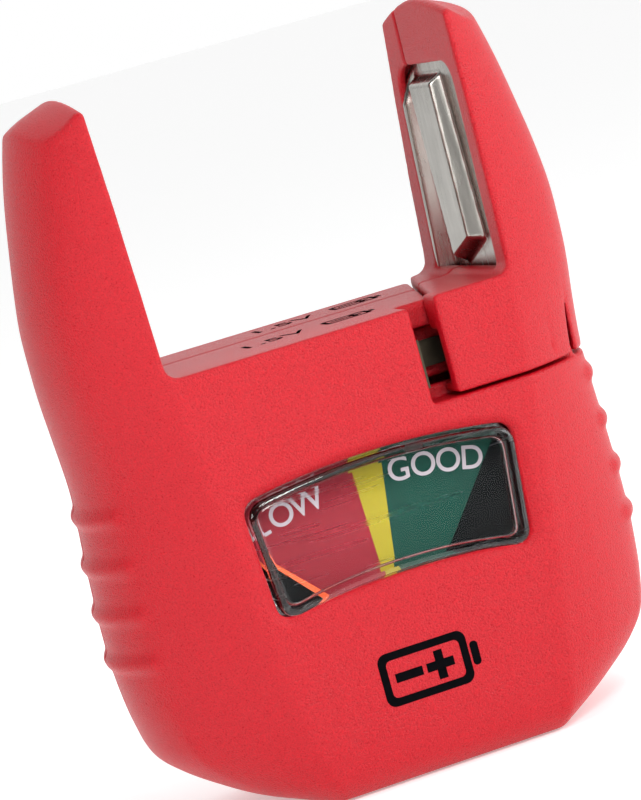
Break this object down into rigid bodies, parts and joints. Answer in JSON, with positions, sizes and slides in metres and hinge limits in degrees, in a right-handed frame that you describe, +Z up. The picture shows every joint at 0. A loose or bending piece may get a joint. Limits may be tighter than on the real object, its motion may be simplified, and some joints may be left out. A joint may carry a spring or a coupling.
{
  "type": "battery_tester",
  "caption": "Handheld household battery tester with a U-shaped plastic case, a sprung sliding contact arm and a needle meter",
  "frame": {"origin": "centre of the flat bottom of the case, under the middle of the body", "axes": "+X from the fixed arm to the sliding arm, +Y from the meter's face to the flat back, +Z up towards the arm tips"},
  "size_m": [0.0674, 0.0314, 0.0874],
  "materials": {
    "red_plastic": "satin",
    "black_plastic": "satin",
    "clear_plastic": "gloss",
    "dial": "satin",
    "needle": "satin",
    "nickel": "satin",
    "steel": "satin",
    "brass": "satin",
    "copper": "satin",
    "board": "matte",
    "ceramic": "matte",
    "magnet": "matte",
    "red_wire": "satin",
    "black_wire": "satin",
    "paper": "matte"
  },
  "bodies": {
    "case": {"aa_resistor": "ceramic", "bus_strip": "brass", "button_contact_fixed": "nickel", "case_screw_arm": "steel", "case_screw_lower_left": "steel", "case_screw_lower_right": "steel", "case_screw_upper_left": "steel", "case_screw_upper_right": "steel", "core_magnet": "magnet", "dial_plate": "dial", "dial_screw_left": "steel", "dial_screw_right": "steel", "fixed_contact_strip": "nickel", "front_bridge": "brass", "front_pivot_screw": "brass", "front_shell": "red_plastic", "lead_bus": "black_wire", "lead_button_contact": "red_wire", "lead_fixed_contact": "red_wire", "lead_meter_negative": "black_wire", "lead_meter_positive": "red_wire", "lead_nine_volt": "red_wire", "meter_frame": "black_plastic", "meter_lens": "clear_plastic", "meter_yoke": "steel", "nine_volt_contact_negative": "nickel", "nine_volt_contact_positive": "nickel", "nine_volt_resistor": "ceramic", "rear_bridge": "brass", "rear_label": "paper", "rear_pivot_screw": "brass", "rear_shell": "red_plastic", "resistor_board": "board", "return_spring": "steel", "series_resistor": "ceramic"},
    "sliding_arm": {"slide_arm": "red_plastic", "slide_arm_cover": "red_plastic", "sliding_contact_strip": "nickel", "button_contact_sliding": "nickel", "wiper": "brass", "slide_screw_upper": "steel", "slide_screw_lower": "steel"},
    "pointer_movement": {"meter_spindle": "steel", "coil_former": "steel", "moving_coil": "copper", "pointer_hub": "brass", "pointer": "needle", "front_hairspring": "brass", "rear_hairspring": "brass"}
  },
  "joints": [
    {"name": "arm_slide", "type": "slide", "parent": "case", "child": "sliding_arm", "axis": [1, 0, 0], "range_m": [0, 0.019], "stiffness_N_per_m": 150, "springref_m": -0.02, "deforming": ["return_spring"]},
    {"name": "pointer_turn", "type": "hinge", "parent": "case", "child": "pointer_movement", "pos_m": [0, 0, 0.0138], "axis": [0, 1, 0], "range_deg": [0, 81], "stiffness_Nm_per_rad": 0.0001, "springref_deg": -5.73}
  ]
}
